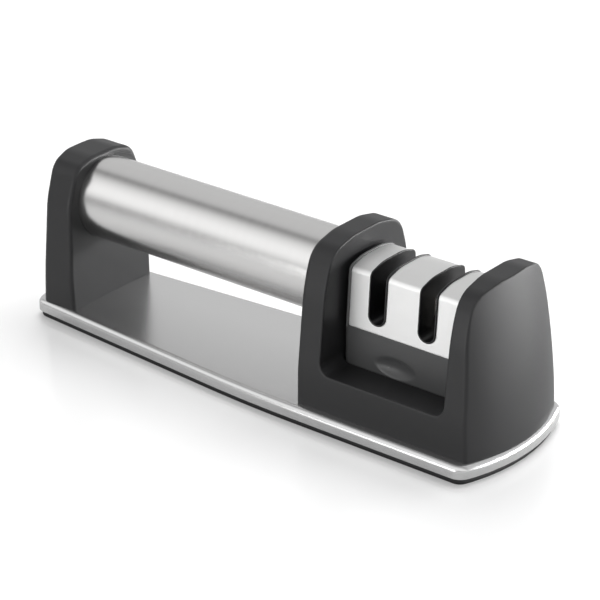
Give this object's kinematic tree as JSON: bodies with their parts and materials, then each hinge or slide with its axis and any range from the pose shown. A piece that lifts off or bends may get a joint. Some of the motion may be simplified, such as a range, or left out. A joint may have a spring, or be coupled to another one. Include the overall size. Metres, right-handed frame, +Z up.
{
  "type": "knife sharpener",
  "caption": "Pull-through knife sharpener: steel handle tube between a rear post and a U-shaped head on a tapered steel base, with a lift-out slotted cartridge.",
  "frame": {"origin": "middle of the base in plan, on the underside of the rubber pad", "axes": "+X along the handle towards the sharpening head, +Y to the back, +Z up"},
  "size_m": [0.1966, 0.0574, 0.0621],
  "materials": {
    "pad_rubber": "matt",
    "core_plastic": "moulded",
    "plate_steel": "satin, brushed along its length",
    "tube_steel": "brushed along its length",
    "cover_steel": "fine satin",
    "soft_touch_plastic": "soft-touch charcoal",
    "carrier_plastic": "fine matt",
    "guide_plastic": "smooth black",
    "screw_steel": "zinc plated",
    "carbide": "ground tungsten carbide",
    "ceramic": "unglazed alumina"
  },
  "bodies": {
    "frame": {"base_pad": "pad_rubber", "base_core": "core_plastic", "base_plate": "plate_steel", "rear_post": "soft_touch_plastic", "head_housing": "soft_touch_plastic", "handle_tube": "tube_steel", "rear_tube_plug": "core_plastic", "head_tube_plug": "core_plastic", "post_screws": "screw_steel", "head_screws": "screw_steel", "screw_washers": "screw_steel"},
    "cartridge": {"cartridge_carrier": "carrier_plastic", "cartridge_cover": "cover_steel", "cartridge_bottom": "carrier_plastic", "cartridge_screws": "screw_steel", "coarse_slot_guide": "guide_plastic", "fine_slot_guide": "guide_plastic", "blade_holder": "core_plastic", "blade_clamp": "core_plastic", "rear_carbide_blade": "carbide", "front_carbide_blade": "carbide", "clamp_screws": "screw_steel", "rod_holder": "core_plastic", "rear_ceramic_rod": "ceramic", "front_ceramic_rod": "ceramic"}
  },
  "joints": [
    {"name": "cartridge_lift", "type": "slide", "parent": "frame", "child": "cartridge", "axis": [0, 0, 1], "range_m": [0, 0.055]}
  ]
}
